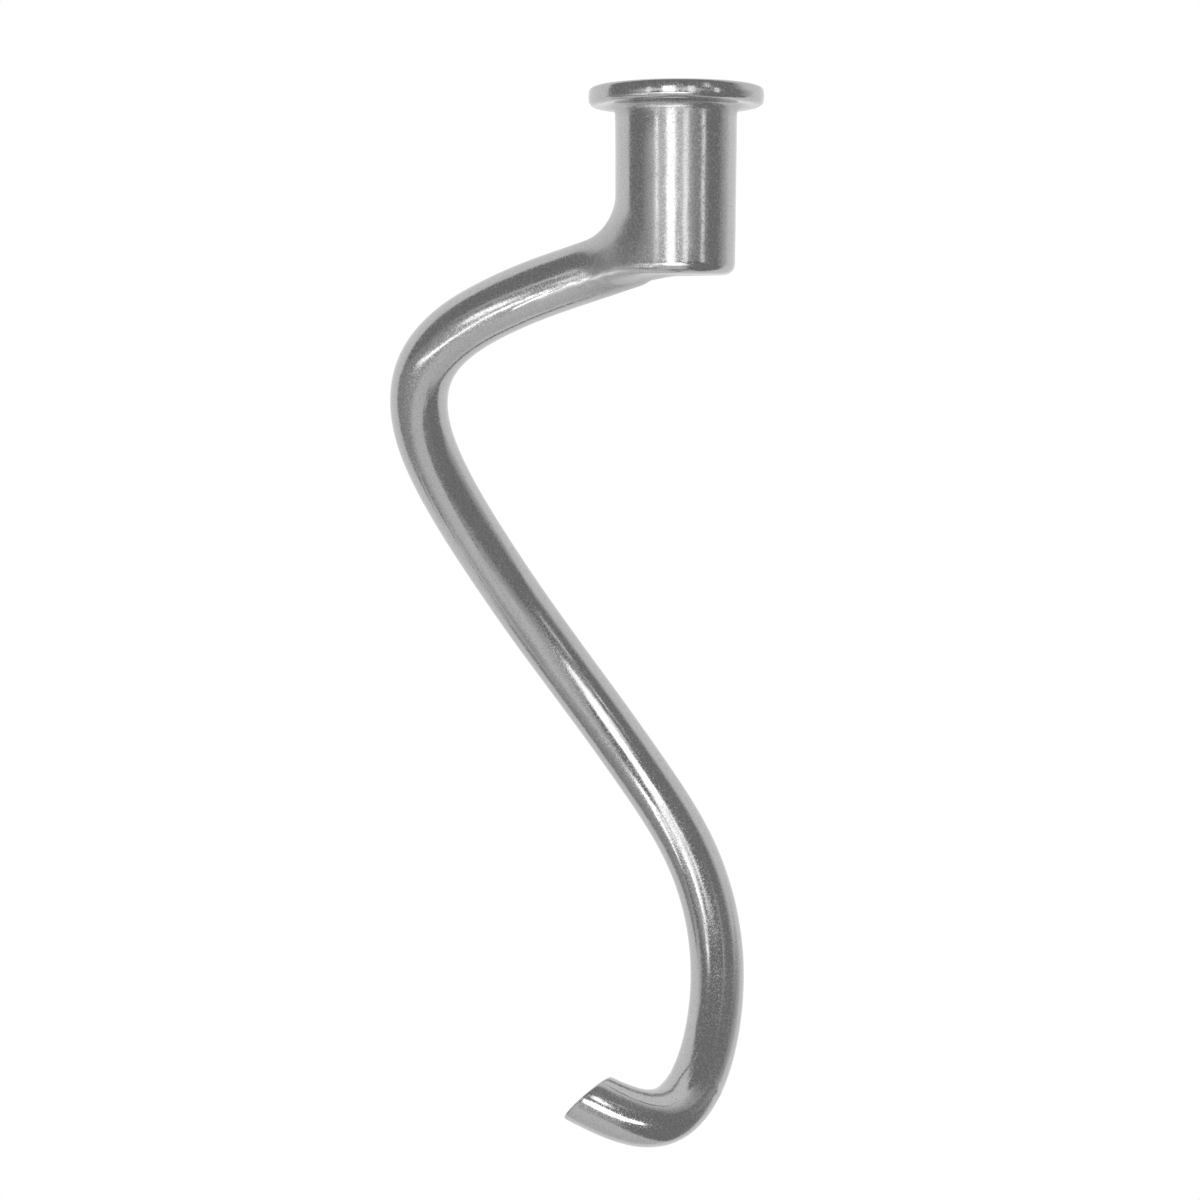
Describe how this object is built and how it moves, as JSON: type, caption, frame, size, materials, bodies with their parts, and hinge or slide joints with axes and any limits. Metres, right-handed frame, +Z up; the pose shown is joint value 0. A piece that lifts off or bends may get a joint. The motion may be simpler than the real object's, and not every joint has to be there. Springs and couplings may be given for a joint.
{
  "type": "stand mixer dough hook",
  "caption": "Spiral dough hook: a flanged hub with a blind bayonet bore carries a round bar that winds down to a tip with a slanted cut, all one casting.",
  "frame": {"origin": "centre of the bore's mouth, on top of the flange", "axes": "+Z up the drive shaft, out of the bore; -Y towards the viewer, who sees the arm leave the hub to the left, -X"},
  "size_m": [0.1076, 0.1026, 0.3029],
  "materials": {
    "cast_steel": "bright tumbled casting, fine grain, soft shine"
  },
  "bodies": {
    "root": {"dough_hook": "cast_steel"}
  },
  "joints": []
}
